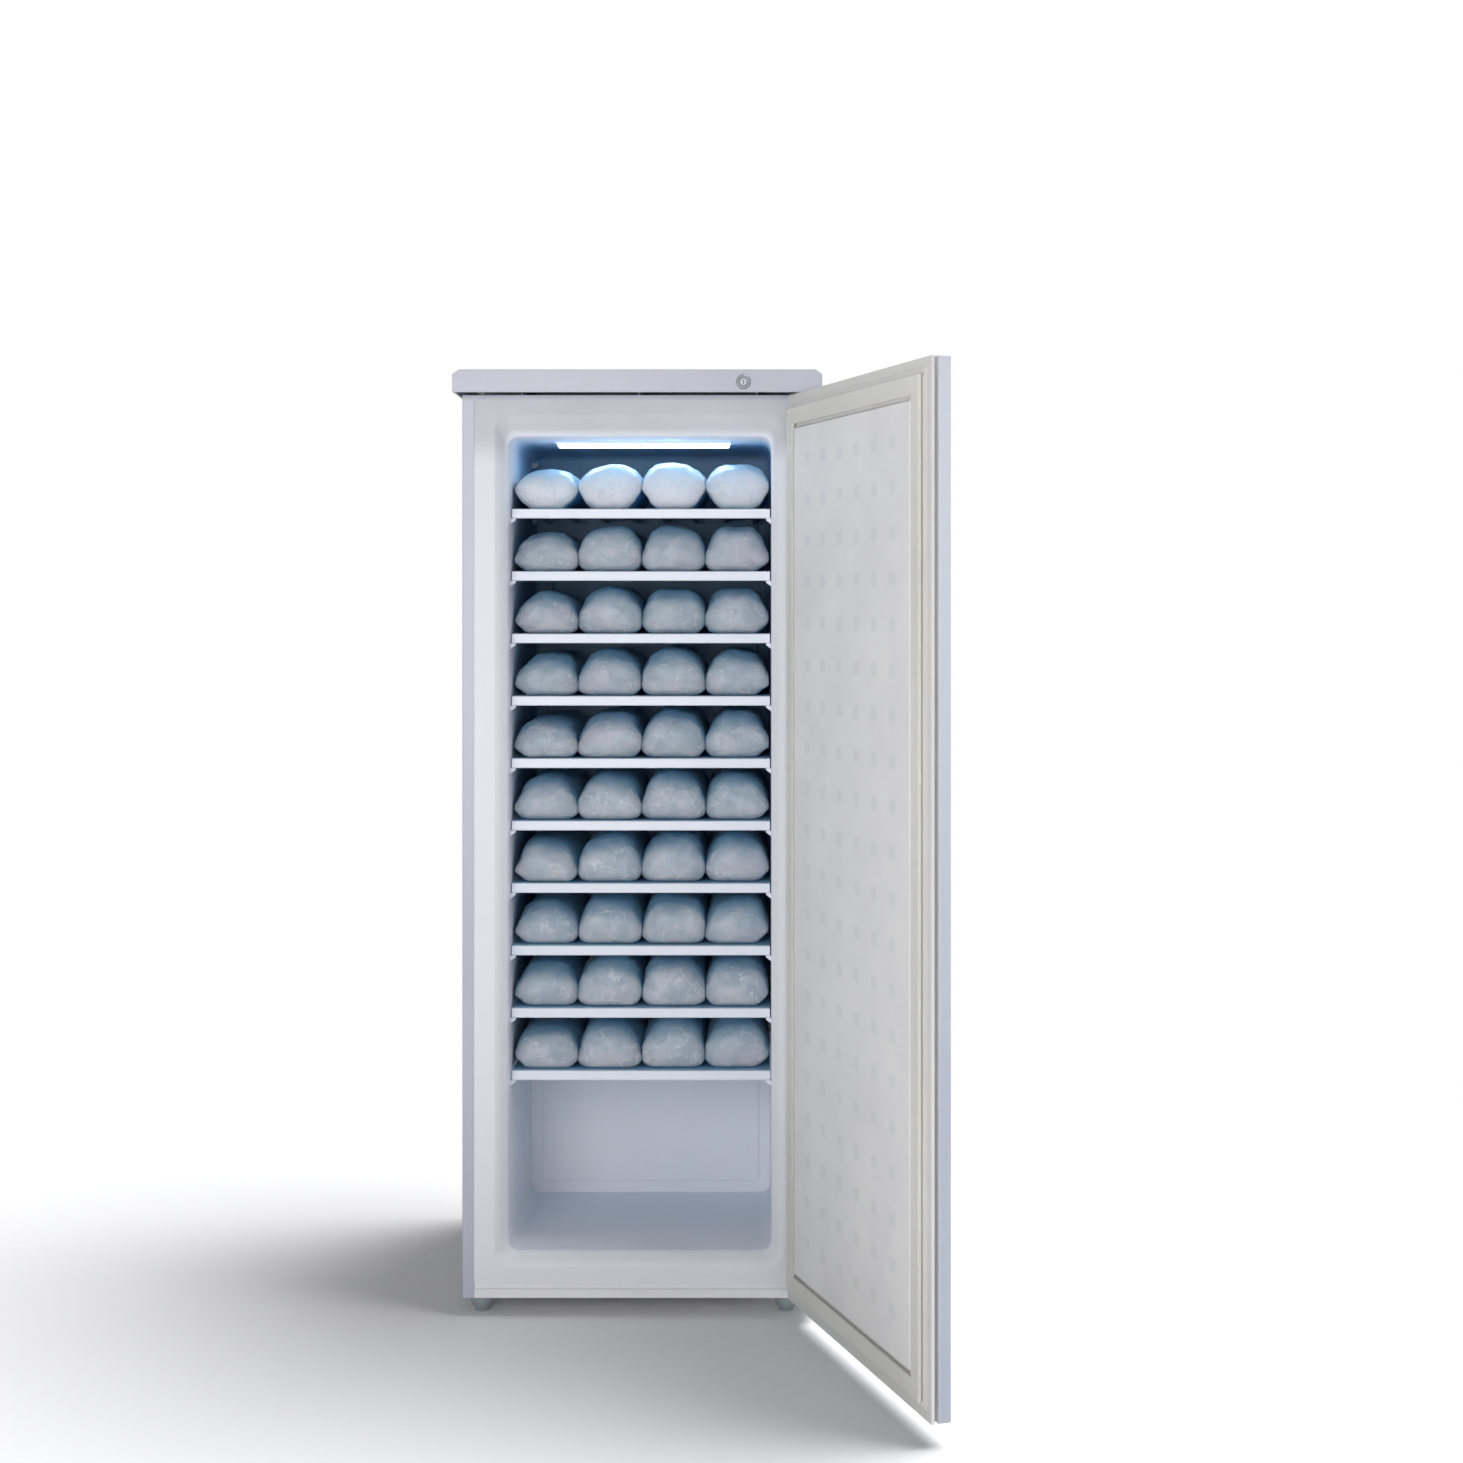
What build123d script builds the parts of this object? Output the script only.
from build123d import *
import os

# Upright solar freezer: a foamed steel cabinet, ten evaporator shelves carrying
# forty bags of ice, and one right-hinged door that stands open.
# Lengths are millimetres, +Z is up and the front faces -Y.
# The origin is on the floor under the middle of the cabinet.

# Steel cabinet
cabinet_width = 600.0
cabinet_depth = 600.0
cabinet_height = 1533.0
leg_room = 32.0
sheet = 1.0
side_flange = 20.0
top_flange = 8.0
sill_strip = 8.0
pan_sheet = 1.2
pan_lip = 15.0
seam = 0.5

# Vacuum-formed liner and the foam round it
liner_wall = 2.0
liner_tuck = 6.0
mouth_side_frame = 55.0
mouth_rise = 52.5
mouth_drop = 33.5
mouth_corner = 26.0
flare_depth = 25.0
flare_shares = ((0.0, 0.0), (0.07, 0.16), (0.22, 0.38), (0.46, 0.64), (0.74, 0.87), (1.0, 1.0))
cavity_side_wall = 75.0
cavity_rise = 74.0
cavity_drop = 68.0
cavity_corner = 18.0
cavity_cove = 12.0
upper_depth_share = 0.8
lower_depth_share = 0.65
hump_rise = 340.0
hump_panel_margin = 22.0
hump_panel_thickness = 1.0
foam_gap = 0.2
bulkhead_foam = 48.0
hump_foam = 60.0
panel_bead_count = 6
panel_bead_width = 10.0
panel_bead_depth = 0.4
panel_bead_inset = 60.0

# Top cover over the cabinet and the door
cover_height = 38.0
cover_side_overhang = 10.0
cover_front_overhang = 48.0
cover_wall = 3.0
cover_bevel_width = 11.0
cover_bevel_height = 8.0
cover_rib_share = 1 / 3
cover_rib_inset = 12.0

# Evaporator shelves
shelf_count = 10
first_shelf_step = 24.6
top_row_share = 93 / 77
rail_height = 16.5
rail_thickness = 8.0
rail_setback = 60.0
rail_rounding = 2.0
shelf_side_gap = 2.0
plate_thickness = 1.5
plate_rear_gap = 25.0
tube_across_flats = 8.0
tube_runs = 8
tube_side_margin = 29.0
tube_turn_corner = 16.0
tube_front_margin = 17.0
tube_rear_margin = 20.0
tube_stub = 2.0
riser_reach = 11.0
clip_width = 9.0
clip_depth = 12.0
clip_drop = 10.0
clip_toe = 3.0
rear_clip_inset = 25.0

# Bags of ice
bags_per_row = 4
bag_side_gap = 4.0
bag_spacing = 2.5
bag_headroom = 10.0
bag_gap = 0.3
bag_setback = 4.0
bag_rear_margin = 7.0
bag_end_taper = 26.0
bag_end_inset = 11.0
bag_foot_share = 0.74
bag_shoulder_share = 0.61
bag_lower_share = 0.25
bag_upper_share = 0.74

# Lamp and temperature probe
lamp_side_gap = 70.0
lamp_depth = 40.0
lamp_base_height = 3.0
lamp_lens_height = 6.0
lamp_lens_inset = 4.0
lamp_lens_rounding = 2.5
lamp_setback = 130.0
probe_radius = 4.0
probe_length = 42.0
probe_drop = 24.0
probe_rear_gap = 80.0
probe_clip = 10.0

# Door, measured while it is closed
door_bottom_gap = 4.0
door_top_gap = 3.0
door_body = 32.0
door_trim_width = 15.0
door_trim_rounding = 4.0
door_trim_chamfer = 5.0
groove_width = 6.3
groove_depth = 10.0
inner_band = 5.0
skin_recess = 0.6
skin_return = 10.0
gasket_depth = 10.0
gasket_width = 28.0
gasket_inset = 24.0
gasket_foot = 2.0
gasket_head = 5.0
gasket_waist_inset = 4.0
closing_gap = 0.3
panel_gap = 4.0
panel_draft = 4.0
panel_height = 9.0
door_open_angle = 109.4

# Badge plate and printed film on the door
badge_width = 110.0
badge_height = 45.0
badge_thickness = 1.5
badge_rounding = 6.0
badge_drop = 96.0
film_thickness = 0.3
film_drop_share = 0.125
film_height_share = 0.25

# Hinges
pivot_inset = 24.0
pivot_setback = 14.0
pin_radius = 4.0
pin_engagement = 17.0
pin_clearance = 0.05
bush_wall = 2.5
bush_flange_radius = 9.0
bush_length = 13.0
running_gap = 0.3
bracket_thickness = 3.0
bracket_width = 46.0
bracket_tail = 58.0
bracket_nose = 12.0
lower_bracket_width = 30.0

# Lock in the front of the top cover
lock_offset_share = 0.593
lock_drop = 21.0
lock_ring_radius = 12.0
lock_ring_thickness = 2.0
lock_ring_chamfer = 0.8
lock_dish_radius = 8.0
lock_dish_depth = 3.0
lock_sleeve_radius = 9.0
lock_sleeve_length = 14.0
lock_plug_radius = 6.0
lock_clearance = 0.05
keyway_width = 1.6
keyway_height = 7.0
keyway_depth = 5.0
cam_thickness = 3.0
cam_reach = 26.0
cam_width = 12.0
keeper_wall = 2.0
keeper_play = 1.5
keeper_depth = 11.0

# Screws
screw_radius = 2.5
screw_clearance = 0.2
screw_head_across_flats = 8.0
screw_head_height = 3.0
screw_length = 14.0

# Feet and rear rollers
foot_setback = 40.0
left_foot_inset = 29.0
right_foot_inset = 50.0
foot_top_radius = 19.0
foot_bulge_radius = 19.5
foot_sole_radius = 12.0
foot_sole_height = 3.0
stud_radius = 5.0
stud_length = 30.0
stud_clearance = 0.08
insert_radius = 9.0
insert_height = 14.0
insert_pocket_gap = 1.0
roller_radius = 14.0
roller_width = 18.0
roller_axle_radius = 3.0
roller_clearance = 0.05
roller_side_gap = 0.5
roller_inset = 50.0
roller_bracket_sheet = 2.0
roller_bracket_length = 26.0
roller_bracket_toe = 12.0

# Machine compartment behind the hump
compressor_offset_share = 0.2
compressor_length_share = 0.32
compressor_gap = 15.4
compressor_height = 132.0
compressor_rounding_share = 0.4
compressor_dome_share = 0.23
compressor_seam_width = 3.0
compressor_seam_height = 4.0
compressor_foot_width = 26.0
compressor_foot_overhang = 18.0
compressor_foot_sheet = 2.5
compressor_foot_share = 0.2
grommet_radius = 9.0
grommet_height = 12.0
grommet_inset = 11.0
nozzle_radius = 6.0
nozzle_height = 10.0
nozzle_share = 0.24
line_across_flats = 8.0
line_reach_share = 0.24
controller_length_share = 0.167
controller_depth_share = 0.38
controller_height = 84.0
controller_rounding = 5.0
controller_offset_share = 0.103
controller_fin_count = 9
controller_fin_thickness = 3.0
controller_fin_height = 8.0
drier_radius = 12.0
drier_length_share = 0.58
drier_neck_radius = 5.0
drier_neck_length = 14.0
drier_offset_share = 0.317
drier_saddle_height = 22.0
drier_saddle_width = 16.0
terminal_width = 64.0
terminal_height = 40.0
terminal_depth = 26.0
terminal_offset_share = 0.383
terminal_rise = 60.0
terminal_stud_radius = 4.0
terminal_stud_length = 9.0
terminal_stud_spacing = 30.0
grille_sheet = 1.2
grille_slot_rows = 9
grille_slot_columns = 3
grille_slot_share = 0.8
grille_slot_height = 6.0
grille_slot_pitch = 20.0
grille_column_share = 0.25
grille_screw_inset = 12.0
rear_lip = 20.0

# One overrun serves every cut
overrun = 5.0

# Planes and levels that everything lines up with
front = -cabinet_depth / 2
back = cabinet_depth / 2
side = cabinet_width / 2
base = leg_room
crown = base + cabinet_height
pan_top = base + pan_sheet
mouth_plane = front + sheet
flare_end = mouth_plane + flare_depth
cavity_floor = base + cavity_rise
cavity_ceiling = crown - cavity_drop
cavity_height = cavity_ceiling - cavity_floor
cavity_width = cabinet_width - 2 * cavity_side_wall
cavity_side = cavity_width / 2
mouth_floor = base + mouth_rise
mouth_height = crown - mouth_drop - mouth_floor
mouth_width = cabinet_width - 2 * mouth_side_frame
upper_back = front + upper_depth_share * cabinet_depth
lower_back = front + lower_depth_share * cabinet_depth
hump_top = base + hump_rise
bulkhead = lower_back + liner_wall + bulkhead_foam
machine_ceiling = hump_top - liner_wall - hump_foam
window_floor = base + pan_lip + seam + sill_strip
window_top = crown - top_flange
window_width = cabinet_width - 2 * side_flange

gasket_face = front - closing_gap
door_inner = gasket_face - gasket_depth
door_outer = door_inner - door_body
door_floor = base + door_bottom_gap
door_top = crown - door_top_gap
door_height = door_top - door_floor
door_middle = (door_floor + door_top) / 2
pivot_x = side - pivot_inset
pivot_y = door_outer + pivot_setback

cover_front = front - cover_front_overhang
cover_top = crown + cover_height
lock_x = lock_offset_share * side
lock_level = cover_top - lock_drop
lock_face = cover_front - lock_ring_thickness
cam_front = lock_face + lock_ring_thickness + lock_sleeve_length + running_gap

rail_front = front + rail_setback
plate_front = rail_front + rail_thickness
plate_back = upper_back - plate_rear_gap
plate_depth = plate_back - plate_front
tube_front = plate_front + tube_front_margin
tube_rear = plate_back - tube_rear_margin
tube_end = plate_back + tube_stub
first_shelf = hump_top + first_shelf_step
shelf_pitch = (cavity_ceiling - first_shelf) / (shelf_count - 1 + top_row_share)
shelf_levels = [first_shelf + shelf_pitch * n for n in range(shelf_count)]
tube_drop = rail_height / 2 - plate_thickness - tube_across_flats / 2
tube_side = cavity_side - tube_side_margin
tube_pitch = 2 * tube_side / (tube_runs - 1)

machine_front = bulkhead + pan_sheet
machine_depth = back - machine_front
machine_middle = machine_front + machine_depth / 2

middle_low = (Align.CENTER, Align.MIN)

os.makedirs("parts", exist_ok=True)


def level(z):
    """Horizontal plane at height z, facing up."""
    return Plane.XY.offset(z)


def facing(y):
    """Upright plane at depth y, facing the front: its own axes are X and Z."""
    return Plane.XZ.offset(-y)


def across(x):
    """Upright plane at side position x, facing right: its own axes are Y and Z."""
    return Plane.YZ.offset(x)


def write(piece, label):
    """Name a finished piece and write it."""
    piece.part.label = label
    export_step(piece.part, f"parts/{label}.step")


def hang(piece, label):
    """Swing a piece drawn on the closed door open about the hinge pins, then write it."""
    pins = Location((pivot_x, pivot_y, 0))
    piece.part.move(pins * Location((0, 0, 0), (0, 0, door_open_angle)) * pins.inverse())
    write(piece, label)


# Fastening points that several pieces share
upper_screw_points = [
    (side - bracket_width + x_share * bracket_width, front + y_share * bracket_tail)
    for x_share, y_share in ((0.25, 0.35), (0.75, 0.35), (0.5, 0.8))
]
lower_screw_points = [
    (side - lower_bracket_width / 2, front + y_share * bracket_tail) for y_share in (0.35, 0.8)
]
grille_screw_points = [(x_share * side, pan_top + grille_screw_inset) for x_share in (-0.85, 0, 0.85)]
foot_points = {
    "left": (-side + left_foot_inset, front + foot_setback),
    "right": (side - right_foot_inset, front + foot_setback),
}
roller_points = {
    "left": (-side + roller_inset, back - roller_inset),
    "right": (side - roller_inset, back - roller_inset),
}

# Cabinet shell: one steel sheet folded over both sides and the top, its front
# edges turned in as a flange round the liner
with BuildPart() as cabinet_shell:
    with BuildSketch(facing(back)):
        with Locations((0, base)):
            Rectangle(cabinet_width, cabinet_height, align=middle_low)
    extrude(amount=cabinet_depth)
    fillet(cabinet_shell.edges().filter_by(Axis.Z).group_by(Axis.Y)[0], 2 * sheet)
    with BuildSketch(facing(back)):
        with Locations((0, base)):
            Rectangle(cabinet_width - 2 * sheet, cabinet_height - sheet, align=middle_low)
    extrude(amount=cabinet_depth - sheet, mode=Mode.SUBTRACT)
    with BuildSketch(facing(mouth_plane)):
        with Locations((0, window_floor)):
            Rectangle(window_width, window_top - window_floor, align=middle_low)
        with Locations((0, base)):
            Rectangle(window_width, pan_lip + seam, align=middle_low)
    extrude(amount=sheet, mode=Mode.SUBTRACT)
    with BuildSketch(level(crown - sheet)):
        with Locations(*upper_screw_points):
            Circle(screw_radius + screw_clearance)
    extrude(amount=sheet, mode=Mode.SUBTRACT)
write(cabinet_shell, "cabinet_shell")

# Base pan: floor sheet with a front lip, and the step that walls off and roofs
# the machine compartment
with BuildPart() as base_pan:
    with BuildSketch(across(-side + sheet)):
        with BuildLine():
            Polyline(
                (mouth_plane, base),
                (back - grille_sheet, base),
                (back - grille_sheet, pan_top + rear_lip),
                (back - grille_sheet - pan_sheet, pan_top + rear_lip),
                (back - grille_sheet - pan_sheet, pan_top),
                (bulkhead + pan_sheet, pan_top),
                (bulkhead + pan_sheet, machine_ceiling - pan_sheet),
                (back - grille_sheet, machine_ceiling - pan_sheet),
                (back - grille_sheet, machine_ceiling),
                (bulkhead, machine_ceiling),
                (bulkhead, pan_top),
                (mouth_plane, pan_top),
                close=True,
            )
        make_face()
    extrude(amount=cabinet_width - 2 * sheet)
    with BuildSketch(facing(mouth_plane)):
        with Locations((0, base)):
            Rectangle(window_width - 2 * seam, pan_lip, align=middle_low)
    extrude(amount=sheet)
    with BuildSketch(level(base)):
        with Locations(*foot_points.values()):
            Circle(stud_radius + seam)
        with Locations(*lower_screw_points):
            Circle(screw_radius + screw_clearance)
    extrude(amount=pan_sheet, mode=Mode.SUBTRACT)
    with BuildSketch(facing(back - grille_sheet)):
        with Locations(*grille_screw_points):
            Circle(screw_radius + screw_clearance)
    extrude(amount=pan_sheet, mode=Mode.SUBTRACT)
write(base_pan, "base_pan")


def cavity_form(grow):
    """The space inside the liner with its flared mouth, grown outwards by grow on every wall."""
    with BuildPart() as form:
        with BuildSketch(facing(upper_back + grow)):
            with Locations((0, (hump_top + cavity_ceiling) / 2)):
                RectangleRounded(
                    cavity_width + 2 * grow,
                    cavity_ceiling - hump_top + 2 * grow,
                    cavity_corner + grow,
                )
        extrude(amount=upper_back + grow - flare_end)
        fillet(form.faces().sort_by(Axis.Y)[-1].edges(), cavity_cove + grow)
        with BuildSketch(facing(lower_back + grow)):
            with Locations((0, cavity_floor + cavity_height / 2)):
                RectangleRounded(
                    cavity_width + 2 * grow, cavity_height + 2 * grow, cavity_corner + grow
                )
        extrude(amount=lower_back + grow - flare_end)
        for depth_share, draw_share in flare_shares:
            floor = mouth_floor + draw_share * (cavity_floor - mouth_floor)
            ceiling = floor + mouth_height + draw_share * (cavity_height - mouth_height)
            width = mouth_width + draw_share * (cavity_width - mouth_width)
            corner = mouth_corner + draw_share * (cavity_corner - mouth_corner)
            with BuildSketch(facing(mouth_plane + depth_share * flare_depth)):
                with Locations((0, (floor + ceiling) / 2)):
                    RectangleRounded(
                        width + 2 * grow, ceiling - floor + 2 * grow, corner + grow
                    )
        loft(ruled=True)
    return form.part


# Liner: one vacuum-formed sheet with a flat front frame tucked behind the
# steel flange, a flared mouth, coved rear corners and the hump over the
# machine compartment
liner_outside = cavity_form(liner_wall)
liner_inside = cavity_form(0)
with BuildPart() as cabinet_liner:
    with BuildSketch(facing(mouth_plane + liner_wall)):
        with Locations((0, window_floor - liner_tuck)):
            Rectangle(
                window_width + 2 * liner_tuck,
                window_top - window_floor + 2 * liner_tuck,
                align=middle_low,
            )
    extrude(amount=liner_wall)
    add(liner_outside)
    add(liner_inside, mode=Mode.SUBTRACT)
    with BuildSketch(facing(lower_back)):
        with Locations((0, cavity_floor + hump_panel_margin)):
            Rectangle(
                cavity_width - 2 * hump_panel_margin,
                hump_top - cavity_floor - 2 * hump_panel_margin,
                align=middle_low,
            )
    extrude(amount=hump_panel_thickness)
write(cabinet_liner, "cabinet_liner")

# Insulation: polyurethane foam poured between the steel and the liner
foam_front = mouth_plane + liner_wall
liner_clear = cavity_form(liner_wall + foam_gap)
with BuildPart() as insulation_foam:
    with BuildSketch(facing(back - sheet)):
        with Locations((0, pan_top)):
            Rectangle(cabinet_width - 2 * sheet, crown - sheet - pan_top, align=middle_low)
    extrude(amount=back - sheet - foam_front)
    with BuildSketch(facing(back)):
        with Locations((0, pan_top)):
            Rectangle(cabinet_width, machine_ceiling - pan_top, align=middle_low)
    extrude(amount=back - bulkhead, mode=Mode.SUBTRACT)
    add(liner_clear, mode=Mode.SUBTRACT)
    with BuildSketch(level(pan_top)):
        with Locations(*foot_points.values()):
            Circle(insert_radius + insert_pocket_gap)
    extrude(amount=stud_length + insert_pocket_gap, mode=Mode.SUBTRACT)
    with BuildSketch(level(pan_top)):
        with Locations(*lower_screw_points):
            Circle(screw_radius + screw_clearance)
    extrude(amount=screw_length, mode=Mode.SUBTRACT)
    with BuildSketch(level(crown - screw_length)):
        with Locations(*upper_screw_points):
            Circle(screw_radius + screw_clearance)
    extrude(amount=screw_length, mode=Mode.SUBTRACT)
write(insulation_foam, "insulation_foam")

# Back panel: steel sheet closing the foam above the machine compartment, with
# stiffening beads pressed across it
panel_middle = (machine_ceiling + crown) / 2
bead_pitch = (crown - machine_ceiling) / panel_bead_count
with BuildPart() as back_panel:
    with BuildSketch(facing(back)):
        with Locations((0, machine_ceiling)):
            Rectangle(cabinet_width - 2 * sheet, crown - sheet - machine_ceiling, align=middle_low)
    extrude(amount=sheet)
    with BuildSketch(facing(back)):
        with Locations((0, panel_middle)):
            with GridLocations(0, bead_pitch, 1, panel_bead_count):
                Rectangle(cabinet_width - 2 * panel_bead_inset, panel_bead_width)
    extrude(amount=panel_bead_depth, mode=Mode.SUBTRACT)
write(back_panel, "back_panel")


def cover_outline(inset):
    """Front outline of the top cover with bevelled upper corners, drawn in by inset."""
    half = side + cover_side_overhang - inset
    bevel_top = half - cover_bevel_width
    return [
        (-half, crown),
        (half, crown),
        (half, cover_top - cover_bevel_height),
        (bevel_top, cover_top - inset),
        (-bevel_top, cover_top - inset),
        (-half, cover_top - cover_bevel_height),
    ]


# Top cover: moulded lid that overhangs both sides and the door, hollow below,
# with ribs that rest on the steel top
cover_depth = back - cover_front
with BuildPart() as top_cover:
    with BuildSketch(facing(back)):
        with BuildLine():
            Polyline(*cover_outline(0), close=True)
        make_face()
    extrude(amount=cover_depth)
    with BuildSketch(facing(back - cover_wall)):
        with BuildLine():
            Polyline(*cover_outline(cover_wall), close=True)
        make_face()
    extrude(amount=cover_depth - 2 * cover_wall, mode=Mode.SUBTRACT)
    with BuildSketch(level(crown)):
        with GridLocations(cabinet_width * cover_rib_share, 0, 3, 1):
            Rectangle(cover_wall, cabinet_depth - 2 * cover_rib_inset)
        with GridLocations(0, cabinet_depth * cover_rib_share, 1, 2):
            Rectangle(cabinet_width - 2 * cover_rib_inset, cover_wall)
    extrude(amount=cover_height - cover_wall)
    with BuildSketch(facing(cover_front + cover_wall)):
        with Locations((lock_x, lock_level)):
            Circle(lock_sleeve_radius)
    extrude(amount=cover_wall, mode=Mode.SUBTRACT)
write(top_cover, "top_cover")

# Upper hinge bracket: steel plate screwed to the cabinet's top, with a pin
# that points down into the door
with BuildPart() as top_hinge_bracket:
    with BuildSketch(level(crown)):
        with BuildLine():
            Polyline(
                (side - bracket_width, front + bracket_tail),
                (side, front + bracket_tail),
                (side, pivot_y - bracket_nose / 2),
                (pivot_x + bracket_nose / 2, pivot_y - bracket_nose),
                (pivot_x - bracket_nose, pivot_y - bracket_nose),
                (side - bracket_width, front),
                close=True,
            )
        make_face()
        with Locations(*upper_screw_points):
            Circle(screw_radius + screw_clearance, mode=Mode.SUBTRACT)
    extrude(amount=bracket_thickness)
    with BuildSketch(level(crown - pin_engagement)):
        with Locations((pivot_x, pivot_y)):
            Circle(pin_radius)
    extrude(amount=pin_engagement)
write(top_hinge_bracket, "top_hinge_bracket")

# Lower hinge bracket: steel plate under the base pan whose pin carries the door
with BuildPart() as bottom_hinge_bracket:
    with BuildSketch(level(base - bracket_thickness)):
        with BuildLine():
            Polyline(
                (side - lower_bracket_width, front + bracket_tail),
                (side, front + bracket_tail),
                (side, pivot_y),
                (side - bracket_nose, pivot_y - bracket_nose),
                (side - lower_bracket_width, pivot_y - bracket_nose),
                close=True,
            )
        make_face()
        with Locations(*lower_screw_points):
            Circle(screw_radius + screw_clearance, mode=Mode.SUBTRACT)
    extrude(amount=bracket_thickness)
    with BuildSketch(level(base)):
        with Locations((pivot_x, pivot_y)):
            Circle(pin_radius)
    extrude(amount=pin_engagement)
write(bottom_hinge_bracket, "bottom_hinge_bracket")

# Hexagon-headed screws: three in the upper bracket, two in the lower, three
# along the foot of the rear grille
head_radius = screw_head_across_flats / 2
with BuildPart() as assembly_screws:
    with BuildSketch(level(crown + bracket_thickness)):
        with Locations(*upper_screw_points):
            RegularPolygon(head_radius, 6, major_radius=False)
    extrude(amount=screw_head_height)
    with BuildSketch(level(crown + bracket_thickness)):
        with Locations(*upper_screw_points):
            Circle(screw_radius)
    extrude(amount=-screw_length)
    with BuildSketch(level(base - bracket_thickness)):
        with Locations(*lower_screw_points):
            RegularPolygon(head_radius, 6, major_radius=False)
    extrude(amount=-screw_head_height)
    with BuildSketch(level(base - bracket_thickness)):
        with Locations(*lower_screw_points):
            Circle(screw_radius)
    extrude(amount=screw_length)
    with BuildSketch(facing(back)):
        with Locations(*grille_screw_points):
            RegularPolygon(head_radius, 6, major_radius=False)
    extrude(amount=-screw_head_height)
    with BuildSketch(facing(back)):
        with Locations(*grille_screw_points):
            Circle(screw_radius)
    extrude(amount=screw_length)
write(assembly_screws, "assembly_screws")

# Lock escutcheon: flanged sleeve through the front of the top cover
with BuildPart() as lock_escutcheon:
    with BuildSketch(facing(cover_front)):
        with Locations((lock_x, lock_level)):
            Circle(lock_ring_radius)
    extrude(amount=lock_ring_thickness)
    chamfer(lock_escutcheon.faces().sort_by(Axis.Y)[0].edges(), lock_ring_chamfer)
    with BuildSketch(facing(cover_front + lock_sleeve_length)):
        with Locations((lock_x, lock_level)):
            Circle(lock_sleeve_radius)
    extrude(amount=lock_sleeve_length)
    with BuildSketch(facing(cover_front + lock_sleeve_length)):
        with Locations((lock_x, lock_level)):
            Circle(lock_plug_radius + lock_clearance)
    extrude(amount=lock_sleeve_length + lock_ring_thickness, mode=Mode.SUBTRACT)
    with BuildSketch(facing(lock_face + lock_dish_depth)):
        with Locations((lock_x, lock_level)):
            Circle(lock_dish_radius)
    extrude(amount=lock_dish_depth, mode=Mode.SUBTRACT)
write(lock_escutcheon, "lock_escutcheon")

# Lock plug: turned barrel with a keyway
with BuildPart() as lock_plug:
    with BuildSketch(facing(cam_front)):
        with Locations((lock_x, lock_level)):
            Circle(lock_plug_radius)
    extrude(amount=cam_front - lock_face)
    with BuildSketch(facing(lock_face + keyway_depth)):
        with Locations((lock_x, lock_level)):
            Rectangle(keyway_width, keyway_height)
    extrude(amount=keyway_depth + overrun, mode=Mode.SUBTRACT)
write(lock_plug, "lock_plug")

# Lock cam: finger on the back of the plug, which turns down into the door
with BuildPart() as lock_cam:
    with BuildSketch(facing(cam_front + cam_thickness)):
        with Locations((lock_x, lock_level)):
            Circle(cam_width / 2)
            Rectangle(cam_reach, cam_width, align=(Align.MAX, Align.CENTER))
    extrude(amount=cam_thickness)
write(lock_cam, "lock_cam")


def shelf_route():
    """Centre line of one evaporator tube: back-to-front runs joined by mitred turns."""
    points = [(-tube_side, tube_end)]
    for run in range(tube_runs - 1):
        near = -tube_side + tube_pitch * run
        far = near + tube_pitch
        turn = tube_front if run % 2 == 0 else tube_rear
        inward = tube_turn_corner if run % 2 == 0 else -tube_turn_corner
        points += [
            (near, turn + inward),
            (near + tube_turn_corner, turn),
            (far - tube_turn_corner, turn),
            (far, turn + inward),
        ]
    return points + [(tube_side, tube_end)]


# Evaporator shelves: an aluminium plate with one serpentine tube bonded
# underneath, its two ends leaving at the rear
for number, height in enumerate(shelf_levels, start=1):
    tube_level = height + tube_drop
    plate_level = height + rail_height / 2 - plate_thickness
    with BuildPart() as evaporator_shelf:
        with BuildLine(level(tube_level)):
            Polyline(*shelf_route())
        with BuildSketch(facing(tube_end)):
            with Locations((-tube_side, tube_level)):
                RegularPolygon(tube_across_flats / 2, 6, major_radius=False)
        sweep(transition=Transition.RIGHT)
        with BuildSketch(level(plate_level)):
            with Locations((0, plate_front)):
                Rectangle(cavity_width - 2 * shelf_side_gap, plate_depth, align=middle_low)
        extrude(amount=plate_thickness)
    write(evaporator_shelf, f"evaporator_shelf_{number:02d}")

# Shelf front rails: white bars clipped along the front edge of every shelf
with BuildPart() as shelf_front_rails:
    for height in shelf_levels:
        with BuildSketch(facing(plate_front)):
            with Locations((0, height)):
                Rectangle(cavity_width - 2 * shelf_side_gap, rail_height)
        extrude(amount=rail_thickness)
    rail_edges = shelf_front_rails.edges().filter_by(Axis.X).group_by(Axis.Y)[0]
    fillet(rail_edges, rail_rounding)
write(shelf_front_rails, "shelf_front_rails")

# Shelf clips: wedge brackets on the liner's side walls, under both ends of
# every rail and under the rear of every plate
with BuildPart() as shelf_clips:
    for height in shelf_levels:
        front_seat = height - rail_height / 2
        rear_seat = height + rail_height / 2 - plate_thickness
        for seat, middle in (
            (front_seat, rail_front + clip_depth / 2),
            (rear_seat, plate_back - rear_clip_inset),
        ):
            for hand in (-1, 1):
                wall = hand * cavity_side
                toe = wall - hand * clip_width
                with BuildSketch(facing(middle + clip_depth / 2)):
                    with BuildLine():
                        Polyline(
                            (wall, seat),
                            (toe, seat),
                            (toe, seat - clip_toe),
                            (wall, seat - clip_drop),
                            close=True,
                        )
                    make_face()
                extrude(amount=clip_depth)
write(shelf_clips, "shelf_clips")

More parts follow.
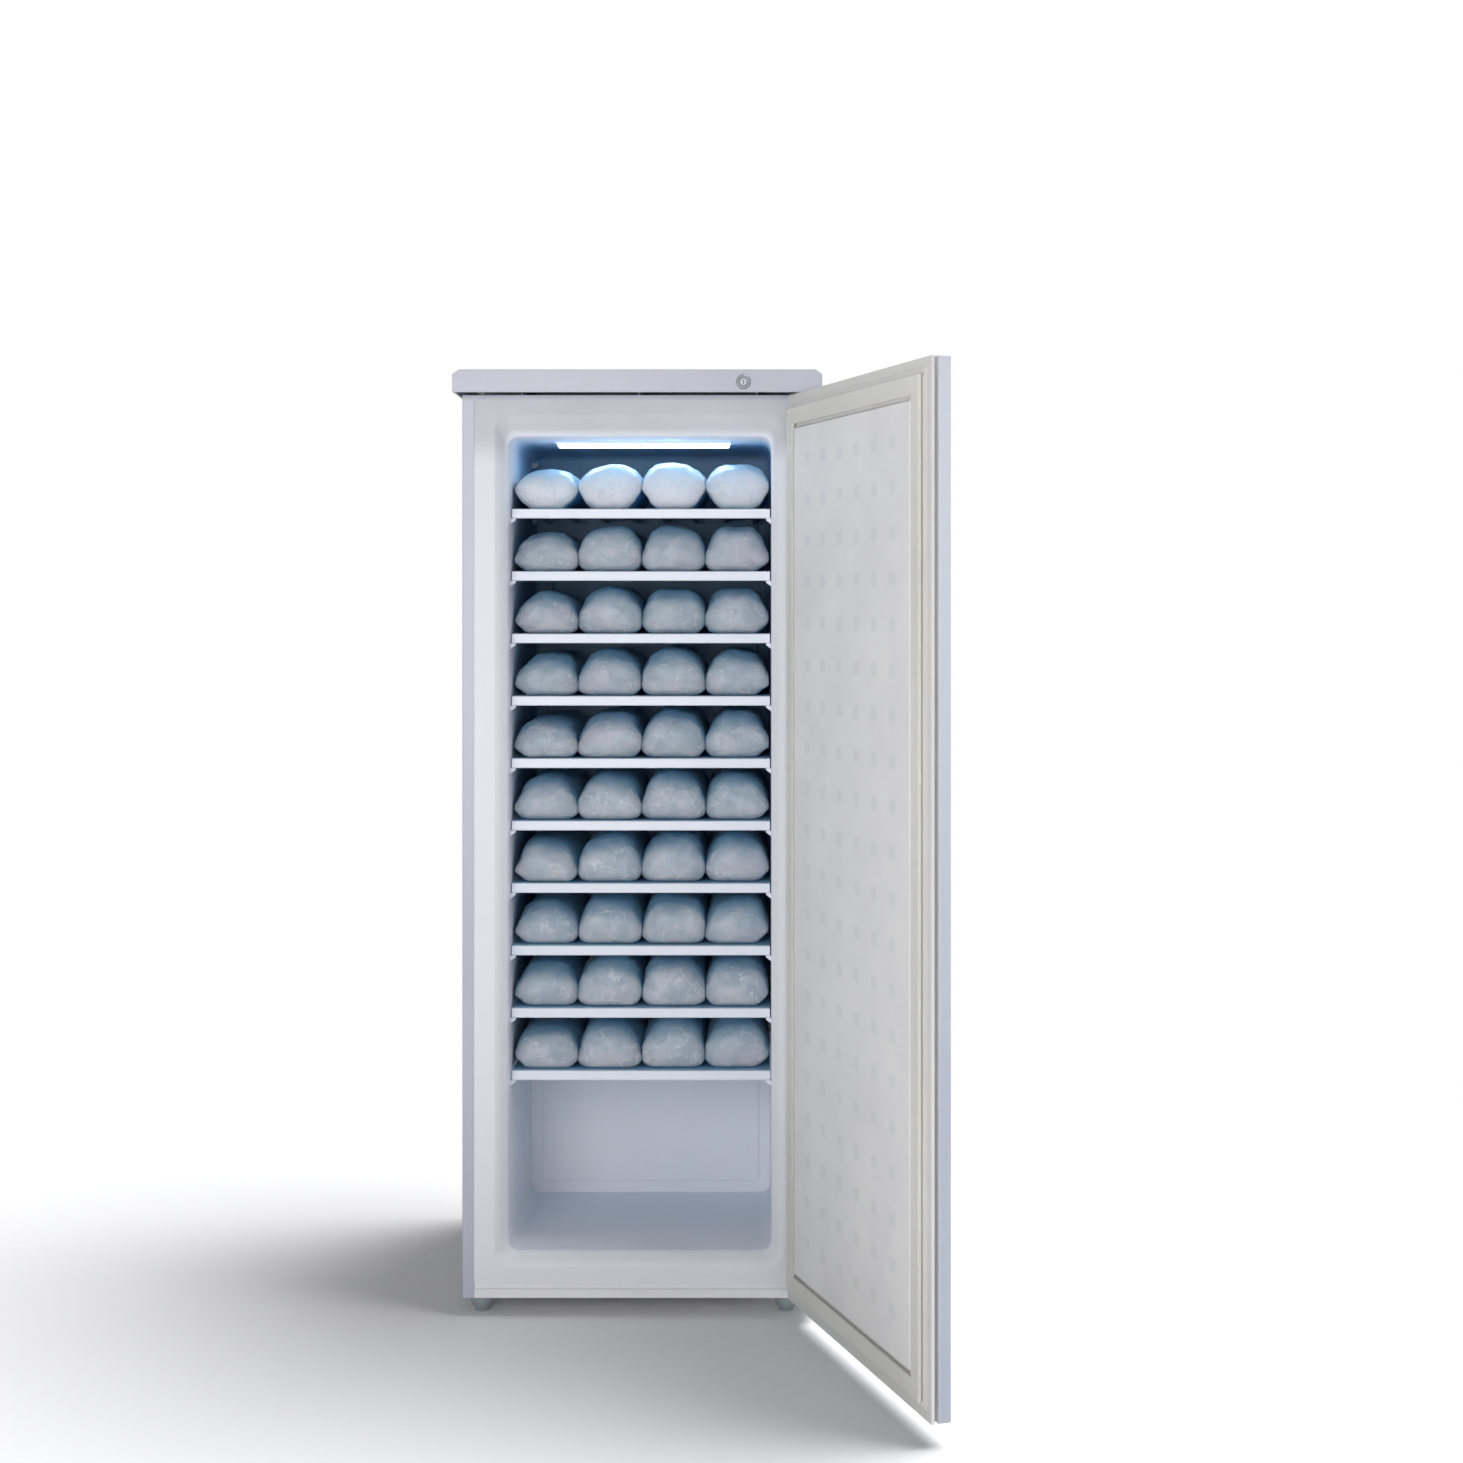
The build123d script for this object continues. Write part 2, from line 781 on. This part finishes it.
# Evaporator risers: short tubes at the rear that join the shelves into one
# circuit, left and right by turns, and two stubs that leave through the liner
with BuildPart() as evaporator_riser_tubes:
    for number, height in enumerate(shelf_levels[:-1]):
        riser_x = tube_side if number % 2 == 0 else -tube_side
        lower = height + tube_drop
        upper = lower + shelf_pitch
        with BuildLine(across(riser_x)):
            Polyline(
                (tube_end, lower),
                (tube_end + riser_reach, lower),
                (tube_end + riser_reach, upper),
                (tube_end, upper),
            )
        with BuildSketch(facing(tube_end)):
            with Locations((riser_x, lower)):
                RegularPolygon(tube_across_flats / 2, 6, major_radius=False)
        sweep(transition=Transition.RIGHT)
    for height in (shelf_levels[0], shelf_levels[-1]):
        with BuildSketch(facing(upper_back)):
            with Locations((-tube_side, height + tube_drop)):
                RegularPolygon(tube_across_flats / 2, 6, major_radius=False)
        extrude(amount=upper_back - tube_end)
write(evaporator_riser_tubes, "evaporator_riser_tubes")


bag_pitch = (cavity_width - 2 * bag_side_gap) / bags_per_row
bag_width = bag_pitch - bag_spacing
bag_height = shelf_pitch - rail_height - bag_gap - bag_headroom


def bag_outline(inset):
    """Front outline of one bag: flat foot, drawn-in lower corners and a domed top."""
    half = bag_width / 2 - inset
    foot = bag_foot_share * bag_width / 2 - inset
    shoulder = bag_shoulder_share * bag_width / 2 - inset
    return [
        (-foot, inset / 2),
        (foot, inset / 2),
        (half, bag_lower_share * bag_height),
        (half, bag_upper_share * bag_height),
        (shoulder, bag_height - inset),
        (-shoulder, bag_height - inset),
        (-half, bag_upper_share * bag_height),
        (-half, bag_lower_share * bag_height),
    ]


# Bags of ice: four long bags lie side by side on every shelf
bag_front = plate_front + bag_setback
bag_back = plate_back - bag_rear_margin
for number, height in enumerate(shelf_levels, start=1):
    bag_floor = height + rail_height / 2 + bag_gap
    with BuildPart() as ice_bags_row:
        for place in range(bags_per_row):
            bag_x = bag_pitch * (place - (bags_per_row - 1) / 2)
            for depth, inset in (
                (bag_back, bag_end_inset),
                (bag_back - bag_end_taper, 0),
                (bag_front + bag_end_taper, 0),
                (bag_front, bag_end_inset),
            ):
                with BuildSketch(facing(depth).shift_origin((bag_x, depth, bag_floor))):
                    with BuildLine():
                        Polyline(*bag_outline(inset), close=True)
                    make_face()
            loft(ruled=True)
    write(ice_bags_row, f"ice_bags_row_{number:02d}")

# Ceiling lamp: white base strip and a clear lens
lamp_length = cavity_width - 2 * lamp_side_gap
lamp_middle = front + lamp_setback + lamp_depth / 2
with BuildPart() as lamp_housing:
    with BuildSketch(level(cavity_ceiling - lamp_base_height)):
        with Locations((0, lamp_middle)):
            Rectangle(lamp_length, lamp_depth)
    extrude(amount=lamp_base_height)
write(lamp_housing, "lamp_housing")
with BuildPart() as lamp_diffuser:
    with BuildSketch(level(cavity_ceiling - lamp_base_height - lamp_lens_height)):
        with Locations((0, lamp_middle)):
            Rectangle(lamp_length - 2 * lamp_lens_inset, lamp_depth - 2 * lamp_lens_inset)
    extrude(amount=lamp_lens_height)
    fillet(lamp_diffuser.faces().sort_by(Axis.Z)[0].edges(), lamp_lens_rounding)
write(lamp_diffuser, "lamp_diffuser")

# Temperature probe: capsule held to the left wall by its clip
probe_y = upper_back - probe_rear_gap
probe_level = cavity_ceiling - probe_drop
with BuildPart() as temperature_probe:
    with BuildSketch(facing(probe_y + probe_length / 2)):
        with Locations((-cavity_side + probe_clip, probe_level)):
            Circle(probe_radius)
    extrude(amount=probe_length)
    with BuildSketch(across(-cavity_side)):
        with Locations((probe_y, probe_level)):
            Rectangle(probe_clip, probe_clip)
    extrude(amount=probe_clip)
write(temperature_probe, "temperature_probe")

# Foot inserts: threaded collars welded on the base pan
with BuildPart() as foot_inserts:
    with BuildSketch(level(pan_top)):
        with Locations(*foot_points.values()):
            RegularPolygon(insert_radius, 6)
            Circle(stud_radius + stud_clearance, mode=Mode.SUBTRACT)
    extrude(amount=insert_height)
write(foot_inserts, "foot_inserts")

# Levelling feet: moulded bowls on a threaded stud
for hand, (foot_x, foot_y) in foot_points.items():
    with BuildPart() as levelling_foot:
        with BuildSketch(facing(foot_y).shift_origin((foot_x, foot_y, 0))):
            with BuildLine():
                Polyline(
                    (stud_radius, base + stud_length),
                    (0, base + stud_length),
                    (0, 0),
                    (foot_sole_radius, 0),
                    (foot_sole_radius, foot_sole_height),
                )
                ThreePointArc(
                    (foot_sole_radius, foot_sole_height),
                    (foot_bulge_radius, (foot_sole_height + base) / 2),
                    (foot_top_radius, base),
                )
                Polyline(
                    (foot_top_radius, base), (stud_radius, base), (stud_radius, base + stud_length)
                )
            make_face()
        revolve(axis=Axis((foot_x, foot_y, 0), (0, 0, 1)))
    write(levelling_foot, f"levelling_foot_{hand}")

# Roller brackets: folded cheeks with the axle riveted through
with BuildPart() as roller_brackets:
    for roller_x, roller_y in roller_points.values():
        cheek_gap = roller_width + 2 * roller_side_gap
        with BuildSketch(level(base - roller_bracket_sheet)):
            with Locations((roller_x, roller_y)):
                Rectangle(cheek_gap + 2 * roller_bracket_sheet, roller_bracket_length)
        extrude(amount=roller_bracket_sheet)
        for cheek_x in (
            roller_x - cheek_gap / 2 - roller_bracket_sheet,
            roller_x + cheek_gap / 2,
        ):
            with BuildSketch(across(cheek_x)):
                with BuildLine():
                    Polyline(
                        (roller_y - roller_bracket_length / 2, base),
                        (roller_y - roller_bracket_toe / 2, roller_radius - roller_bracket_toe / 2),
                        (roller_y + roller_bracket_toe / 2, roller_radius - roller_bracket_toe / 2),
                        (roller_y + roller_bracket_length / 2, base),
                        close=True,
                    )
                make_face()
            extrude(amount=roller_bracket_sheet)
        with BuildSketch(across(roller_x - cheek_gap / 2)):
            with Locations((roller_y, roller_radius)):
                Circle(roller_axle_radius)
        extrude(amount=cheek_gap)
write(roller_brackets, "roller_brackets")

# Rear rollers
for hand, (roller_x, roller_y) in roller_points.items():
    with BuildPart() as rear_roller:
        with BuildSketch(across(roller_x - roller_width / 2)):
            with Locations((roller_y, roller_radius)):
                Circle(roller_radius)
                Circle(roller_axle_radius + roller_clearance, mode=Mode.SUBTRACT)
        extrude(amount=roller_width)
    write(rear_roller, f"rear_roller_{hand}")

# Compressor: drawn steel can with a weld seam, two nozzles and foot bars; it
# fills the compartment's depth but for a gap at its front and rear
compressor_x = compressor_offset_share * cabinet_width
compressor_length = compressor_length_share * cabinet_width
compressor_width = machine_depth - 2 * compressor_gap
compressor_rounding = compressor_rounding_share * compressor_width
foot_bar_length = compressor_length + 2 * compressor_foot_overhang
foot_bar_spacing = 2 * compressor_foot_share * compressor_width
nozzle_offset = nozzle_share * compressor_length
can_floor = pan_top + grommet_height + compressor_foot_sheet
nozzle_floor = can_floor + compressor_height
with BuildPart() as compressor:
    with BuildSketch(level(can_floor)):
        with Locations((compressor_x, machine_middle)):
            RectangleRounded(compressor_length, compressor_width, compressor_rounding)
    extrude(amount=compressor_height)
    compressor_crown = compressor.faces().sort_by(Axis.Z)[-1]
    fillet(compressor_crown.edges(), compressor_dome_share * compressor_width)
    with BuildSketch(level(can_floor + compressor_height / 2)):
        with Locations((compressor_x, machine_middle)):
            RectangleRounded(
                compressor_length + 2 * compressor_seam_width,
                compressor_width + 2 * compressor_seam_width,
                compressor_rounding + compressor_seam_width,
            )
    extrude(amount=compressor_seam_height)
    with BuildSketch(level(can_floor - compressor_foot_sheet)):
        with Locations((compressor_x, machine_middle)):
            with GridLocations(0, foot_bar_spacing, 1, 2):
                Rectangle(foot_bar_length, compressor_foot_width)
    extrude(amount=compressor_foot_sheet)
    with BuildSketch(level(nozzle_floor)):
        with Locations((compressor_x, machine_middle)):
            with GridLocations(2 * nozzle_offset, 0, 2, 1):
                RegularPolygon(nozzle_radius, 6)
    extrude(amount=nozzle_height)
write(compressor, "compressor")

# Compressor grommets: four rubber feet between the foot bars and the pan
with BuildPart() as compressor_grommets:
    with BuildSketch(level(pan_top)):
        with Locations((compressor_x, machine_middle)):
            with GridLocations(foot_bar_length - 2 * grommet_inset, foot_bar_spacing, 2, 2):
                RegularPolygon(grommet_radius, 8)
    extrude(amount=grommet_height)
write(compressor_grommets, "compressor_grommets")

# Compressor controller: cast box with cooling fins, standing on the pan
controller_x = -controller_offset_share * cabinet_width
controller_length = controller_length_share * cabinet_width
controller_depth = controller_depth_share * machine_depth
with BuildPart() as compressor_controller:
    with BuildSketch(level(pan_top)):
        with Locations((controller_x, machine_middle)):
            RectangleRounded(controller_length, controller_depth, controller_rounding)
    extrude(amount=controller_height)
    with BuildSketch(level(pan_top + controller_height)):
        with Locations((controller_x, machine_middle)):
            with GridLocations(controller_length / controller_fin_count, 0, controller_fin_count, 1):
                Rectangle(controller_fin_thickness, controller_depth - 2 * controller_rounding)
    extrude(amount=controller_fin_height)
write(compressor_controller, "compressor_controller")

# Filter drier: copper cartridge lying in a saddle on the pan
drier_x = -drier_offset_share * cabinet_width
drier_level = pan_top + drier_saddle_height + drier_radius
drier_length = drier_length_share * machine_depth
with BuildPart() as filter_drier:
    with BuildSketch(facing(machine_middle + drier_length / 2)):
        with Locations((drier_x, drier_level)):
            Circle(drier_radius)
    extrude(amount=drier_length)
    with BuildSketch(facing(machine_middle + drier_length / 2 + drier_neck_length)):
        with Locations((drier_x, drier_level)):
            Circle(drier_neck_radius)
    extrude(amount=drier_length + 2 * drier_neck_length)
    with BuildSketch(level(pan_top)):
        with Locations((drier_x, machine_middle)):
            Rectangle(drier_saddle_width, drier_saddle_width)
    extrude(amount=drier_saddle_height + drier_radius / 2)
write(filter_drier, "filter_drier")

# Refrigerant lines: suction and discharge tubes from the compressor's nozzles
# up to the compartment's ceiling
line_start = nozzle_floor + nozzle_height
line_top = machine_ceiling - pan_sheet
line_bend = (line_start + line_top) / 2
line_reach = line_reach_share * compressor_length
with BuildPart() as refrigerant_lines:
    for hand in (-1, 1):
        nozzle_x = compressor_x + hand * nozzle_offset
        with BuildLine(facing(machine_middle)):
            Polyline(
                (nozzle_x, line_start),
                (nozzle_x, line_bend),
                (nozzle_x + hand * line_reach, line_bend),
                (nozzle_x + hand * line_reach, line_top),
            )
        with BuildSketch(level(line_start)):
            with Locations((nozzle_x, machine_middle)):
                RegularPolygon(line_across_flats / 2, 6, major_radius=False)
        sweep(transition=Transition.RIGHT)
write(refrigerant_lines, "refrigerant_lines")

# Direct-current terminal: moulded block behind the grille with two studs
terminal_x = -terminal_offset_share * cabinet_width
terminal_level = pan_top + rear_lip + terminal_rise
terminal_back = back - grille_sheet
with BuildPart() as dc_terminal:
    with BuildSketch(facing(terminal_back)):
        with Locations((terminal_x, terminal_level)):
            Rectangle(terminal_width, terminal_height)
    extrude(amount=terminal_depth)
    with BuildSketch(facing(terminal_back + terminal_stud_length)):
        with Locations((terminal_x, terminal_level)):
            with GridLocations(terminal_stud_spacing, 0, 2, 1):
                RegularPolygon(terminal_stud_radius, 6)
    extrude(amount=terminal_stud_length)
write(dc_terminal, "dc_terminal")

# Rear grille: steel cover with three stacks of cooling slots and a window
# through which the terminal studs stand
grille_column_pitch = grille_column_share * cabinet_width
grille_slot_length = grille_slot_share * grille_column_pitch
with BuildPart() as rear_grille:
    with BuildSketch(facing(back)):
        with Locations((0, pan_top)):
            Rectangle(
                cabinet_width - 2 * sheet, machine_ceiling - pan_top - seam, align=middle_low
            )
        with Locations((grille_column_pitch / 2, (pan_top + machine_ceiling) / 2)):
            with GridLocations(
                grille_column_pitch, grille_slot_pitch, grille_slot_columns, grille_slot_rows
            ):
                Rectangle(grille_slot_length, grille_slot_height, mode=Mode.SUBTRACT)
        with Locations((terminal_x, terminal_level)):
            Rectangle(
                terminal_stud_spacing + 4 * terminal_stud_radius,
                4 * terminal_stud_radius,
                mode=Mode.SUBTRACT,
            )
        with Locations(*grille_screw_points):
            Circle(screw_radius + screw_clearance, mode=Mode.SUBTRACT)
    extrude(amount=grille_sheet)
write(rear_grille, "rear_grille")

# Door pieces are drawn closed and swung open when they are written.
# Free-edge trim: moulded strip with the full-height groove by which the door
# is pulled; hinge-edge trim: plain strip; end caps between them
trim_inside = side - door_trim_width
cap_width = 2 * trim_inside
keeper_x = lock_x - cam_reach / 4
keeper_y = cam_front + cam_thickness / 2
keeper_length = cam_reach + 2 * keeper_play
keeper_slot = cam_thickness + 2 * keeper_play
bush_radius = pin_radius + pin_clearance + bush_wall
with BuildPart() as door_edge_trims:
    with BuildSketch(level(door_floor)):
        with BuildLine():
            Polyline(
                (-trim_inside, door_inner),
                (-side, door_inner),
                (-side, door_inner - inner_band),
                (-side + groove_depth, door_inner - inner_band),
                (-side + groove_depth, door_inner - inner_band - groove_width),
                (-side, door_inner - inner_band - groove_width),
                (-side, door_outer + door_trim_rounding),
            )
            RadiusArc(
                (-side, door_outer + door_trim_rounding),
                (-side + door_trim_rounding, door_outer),
                -door_trim_rounding,
            )
            Polyline(
                (-side + door_trim_rounding, door_outer),
                (-trim_inside, door_outer),
                (-trim_inside, door_inner),
            )
        make_face()
    extrude(amount=door_height)
    with BuildSketch(level(door_floor)):
        with BuildLine():
            Polyline(
                (side - door_trim_rounding, door_outer),
                (trim_inside, door_outer),
                (trim_inside, door_inner),
                (side - door_trim_chamfer, door_inner),
                (side, door_inner - door_trim_chamfer),
                (side, door_outer + door_trim_rounding),
            )
            RadiusArc(
                (side, door_outer + door_trim_rounding),
                (side - door_trim_rounding, door_outer),
                door_trim_rounding,
            )
        make_face()
    extrude(amount=door_height)
    for cap_floor in (door_floor, door_top - door_trim_width):
        with BuildSketch(level(cap_floor)):
            with Locations((0, (door_outer + door_inner) / 2)):
                Rectangle(cap_width, door_body)
        extrude(amount=door_trim_width)
    for bush_floor in (door_floor, door_top - bush_length):
        with BuildSketch(level(bush_floor)):
            with Locations((pivot_x, pivot_y)):
                Circle(bush_radius)
        extrude(amount=bush_length, mode=Mode.SUBTRACT)
    with BuildSketch(level(door_floor)):
        with Locations((pivot_x, pivot_y)):
            Circle(pin_radius + running_gap)
    extrude(amount=door_trim_width + pin_engagement, mode=Mode.SUBTRACT)
    with BuildSketch(level(door_top)):
        with Locations((pivot_x, pivot_y)):
            Circle(pin_radius + running_gap)
    extrude(amount=-door_trim_width, mode=Mode.SUBTRACT)
    with BuildSketch(level(door_top - keeper_depth)):
        with Locations((keeper_x, keeper_y)):
            Rectangle(keeper_length + 2 * keeper_wall, keeper_slot + 2 * keeper_wall)
    extrude(amount=keeper_depth, mode=Mode.SUBTRACT)
hang(door_edge_trims, "door_edge_trims")

# Lock keeper: lined slot in the top cap, where the cam comes down
with BuildPart() as lock_keeper:
    with BuildSketch(level(door_top - keeper_depth)):
        with Locations((keeper_x, keeper_y)):
            Rectangle(keeper_length + 2 * keeper_wall, keeper_slot + 2 * keeper_wall)
    extrude(amount=keeper_depth)
    with BuildSketch(level(door_top)):
        with Locations((keeper_x, keeper_y)):
            Rectangle(keeper_length, keeper_slot)
    extrude(amount=keeper_wall - keeper_depth, mode=Mode.SUBTRACT)
hang(lock_keeper, "lock_keeper")

# Hinge bushes: flanged plastic sleeves in the two end caps; the lower flange
# carries the door on its bracket
with BuildPart() as hinge_bushes:
    for bush_floor, flange_floor, flange in (
        (door_floor, door_floor - door_bottom_gap + running_gap, door_bottom_gap - running_gap),
        (door_top - bush_length, door_top, door_top_gap - running_gap),
    ):
        with BuildSketch(level(bush_floor)):
            with Locations((pivot_x, pivot_y)):
                Circle(bush_radius)
        extrude(amount=bush_length)
        with BuildSketch(level(flange_floor)):
            with Locations((pivot_x, pivot_y)):
                Circle(bush_flange_radius)
        extrude(amount=flange)
    for bore_floor in (door_floor - door_bottom_gap, door_top - bush_length):
        with BuildSketch(level(bore_floor)):
            with Locations((pivot_x, pivot_y)):
                Circle(pin_radius + pin_clearance)
        extrude(amount=bush_length + door_bottom_gap, mode=Mode.SUBTRACT)
hang(hinge_bushes, "hinge_bushes")

# Door skin: silver-painted steel tray set between the trims, its edges turned
# back into the foam
skin_front = door_outer + skin_recess
skin_height = door_height - 2 * door_trim_width
skin_floor = door_floor + door_trim_width
with BuildPart() as door_skin:
    with BuildSketch(facing(skin_front + skin_return)):
        with Locations((0, skin_floor)):
            Rectangle(cap_width, skin_height, align=middle_low)
    extrude(amount=skin_return)
    with BuildSketch(facing(skin_front + skin_return)):
        with Locations((0, skin_floor + sheet)):
            Rectangle(cap_width - 2 * sheet, skin_height - 2 * sheet, align=middle_low)
    extrude(amount=skin_return - sheet, mode=Mode.SUBTRACT)
hang(door_skin, "door_skin")

# Door liner: vacuum-formed inner sheet with a raised panel inside the gasket
panel_base_width = cabinet_width - 2 * (gasket_inset + gasket_width + panel_gap)
panel_base_height = door_height - 2 * (gasket_inset + gasket_width + panel_gap)
liner_sheet_back = door_inner - liner_wall
with BuildPart() as door_liner:
    with BuildSketch(facing(door_inner)):
        with Locations((0, skin_floor)):
            Rectangle(cap_width, skin_height, align=middle_low)
    extrude(amount=liner_wall)
    for inset, mode in ((0, Mode.ADD), (liner_wall, Mode.SUBTRACT)):
        near = door_inner if mode is Mode.ADD else liner_sheet_back
        with BuildSketch(facing(near)):
            with Locations((0, door_middle)):
                Rectangle(panel_base_width - 2 * inset, panel_base_height - 2 * inset)
        with BuildSketch(facing(near + panel_height)):
            with Locations((0, door_middle)):
                Rectangle(
                    panel_base_width - 2 * (inset + panel_draft),
                    panel_base_height - 2 * (inset + panel_draft),
                )
        loft(ruled=True, mode=mode)
hang(door_liner, "door_liner")

# Door foam: fills the door between skin and liner
with BuildPart() as door_foam:
    with BuildSketch(facing(liner_sheet_back)):
        with Locations((0, skin_floor)):
            Rectangle(cap_width, skin_height, align=middle_low)
    extrude(amount=liner_sheet_back - skin_front - skin_return)
    with BuildSketch(facing(skin_front + skin_return)):
        with Locations((0, skin_floor + sheet)):
            Rectangle(cap_width - 2 * sheet, skin_height - 2 * sheet, align=middle_low)
    extrude(amount=skin_return - sheet)
    with BuildSketch(facing(liner_sheet_back)):
        with Locations((0, door_middle)):
            Rectangle(panel_base_width - 2 * liner_wall, panel_base_height - 2 * liner_wall)
    with BuildSketch(facing(liner_sheet_back + panel_height)):
        with Locations((0, door_middle)):
            Rectangle(
                panel_base_width - 2 * (liner_wall + panel_draft),
                panel_base_height - 2 * (liner_wall + panel_draft),
            )
    loft(ruled=True)
hang(door_foam, "door_foam")

# Door gasket: magnetic bellows seal, a foot on the liner, a narrow waist and
# the head that meets the cabinet
with BuildPart() as door_gasket:
    for start, depth, inset in (
        (0, gasket_foot, 0),
        (gasket_foot, gasket_depth - gasket_foot - gasket_head, gasket_waist_inset),
        (gasket_depth - gasket_head, gasket_head, 0),
    ):
        with BuildSketch(facing(door_inner + start + depth)):
            with Locations((0, door_middle)):
                Rectangle(
                    cabinet_width - 2 * (gasket_inset + inset),
                    door_height - 2 * (gasket_inset + inset),
                )
                Rectangle(
                    cabinet_width - 2 * (gasket_inset + gasket_width - inset),
                    door_height - 2 * (gasket_inset + gasket_width - inset),
                    mode=Mode.SUBTRACT,
                )
        extrude(amount=depth)
hang(door_gasket, "door_gasket")

# Badge plate: bare raised plate near the top of the door
with BuildPart() as badge_plate:
    with BuildSketch(facing(skin_front)):
        with Locations((0, door_top - badge_drop)):
            RectangleRounded(badge_width, badge_height, badge_rounding)
    extrude(amount=badge_thickness)
hang(badge_plate, "badge_plate")

# Picture film: thin printed film across the skin
film_height = film_height_share * door_height
film_floor = door_top - film_drop_share * door_height - film_height
with BuildPart() as picture_film:
    with BuildSketch(facing(skin_front)):
        with Locations((0, film_floor)):
            Rectangle(cap_width, film_height, align=middle_low)
    extrude(amount=film_thickness)
hang(picture_film, "picture_film")
